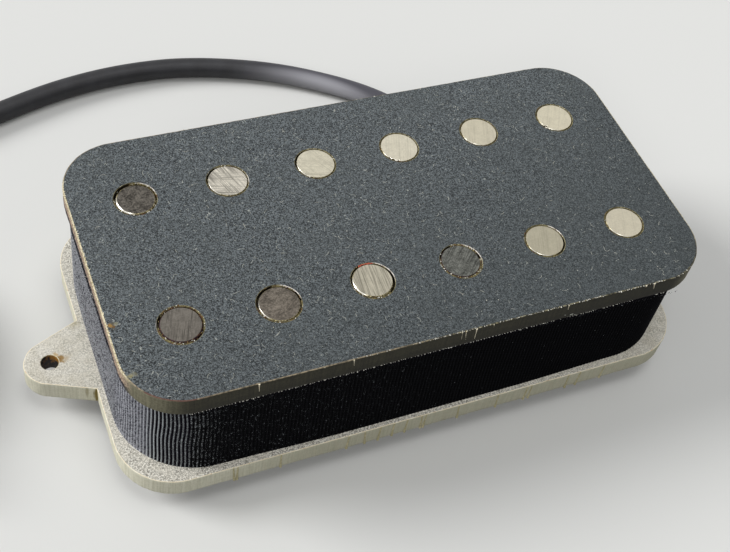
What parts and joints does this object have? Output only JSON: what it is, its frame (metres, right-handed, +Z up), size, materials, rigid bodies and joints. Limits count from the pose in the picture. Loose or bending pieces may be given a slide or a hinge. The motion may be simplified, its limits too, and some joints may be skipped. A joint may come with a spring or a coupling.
{
  "type": "guitar pickup",
  "caption": "Guitar pickup with side by side coils, rod magnets held between fibre plates, woven tape round the coils, mounting ears and a shielded lead put away as turns.",
  "frame": {"origin": "middle of the base outline, level with the lower tips of the rods, on which the part stands", "axes": "+X along the rows of rods, +Y to the side where the lead leaves, +Z up to the top plate"},
  "size_m": [0.1286, 0.0849, 0.02],
  "materials": {
    "fibre_dark": "vulcanised fibre, dark slate, faint fuzz and pale flecks",
    "fibre_pale": "vulcanised fibre, pale warm grey, mottled",
    "rod_metal": "cast magnet alloy, ground ends with scratches",
    "core_tape": "masking tape",
    "copper_winding": "enamelled copper wire",
    "woven_tape": "black ribbed woven cotton tape",
    "eyelet_brass": "plain brass",
    "solder": "bright solder",
    "lead_jacket": "satin dark grey cable jacket",
    "glue": "set hot glue",
    "wire_red": "wire insulation",
    "wire_white": "wire insulation",
    "wire_green": "wire insulation",
    "wire_black": "wire insulation",
    "tinned_copper": "tinned strands",
    "tie_white": "plastic covered wire tie"
  },
  "bodies": {
    "root": {"top_plate": "fibre_dark", "base_plate": "fibre_pale", "rod_front_1": "rod_metal", "rod_front_2": "rod_metal", "rod_front_3": "rod_metal", "rod_front_4": "rod_metal", "rod_front_5": "rod_metal", "rod_front_6": "rod_metal", "rod_back_1": "rod_metal", "rod_back_2": "rod_metal", "rod_back_3": "rod_metal", "rod_back_4": "rod_metal", "rod_back_5": "rod_metal", "rod_back_6": "rod_metal", "core_tape_front": "core_tape", "core_tape_back": "core_tape", "winding_front": "copper_winding", "winding_back": "copper_winding", "woven_wrap": "woven_tape", "eyelet_front_start": "eyelet_brass", "eyelet_front_finish": "eyelet_brass", "eyelet_back_start": "eyelet_brass", "eyelet_back_finish": "eyelet_brass", "eyelet_shield": "eyelet_brass", "solder_front_start": "solder", "solder_front_finish": "solder", "solder_back_start": "solder", "solder_back_finish": "solder", "solder_shield": "solder", "lead_out_front_start": "copper_winding", "lead_out_front_finish": "copper_winding", "lead_out_back_start": "copper_winding", "lead_out_back_finish": "copper_winding", "lead_under_base": "lead_jacket", "glue_bead": "glue", "conductor_red": "wire_red", "conductor_white": "wire_white", "conductor_green": "wire_green", "conductor_black": "wire_black", "shield_pigtail": "tinned_copper", "lead_free": "lead_jacket", "lead_turns": "lead_jacket", "lead_tie": "tie_white", "lead_tail": "lead_jacket", "bare_wire_red": "wire_red", "bare_wire_white": "wire_white", "bare_wire_green": "wire_green", "bare_wire_black": "wire_black", "bare_tip_red": "tinned_copper", "bare_tip_white": "tinned_copper", "bare_tip_green": "tinned_copper", "bare_tip_black": "tinned_copper", "bare_shield": "tinned_copper"}
  },
  "joints": []
}
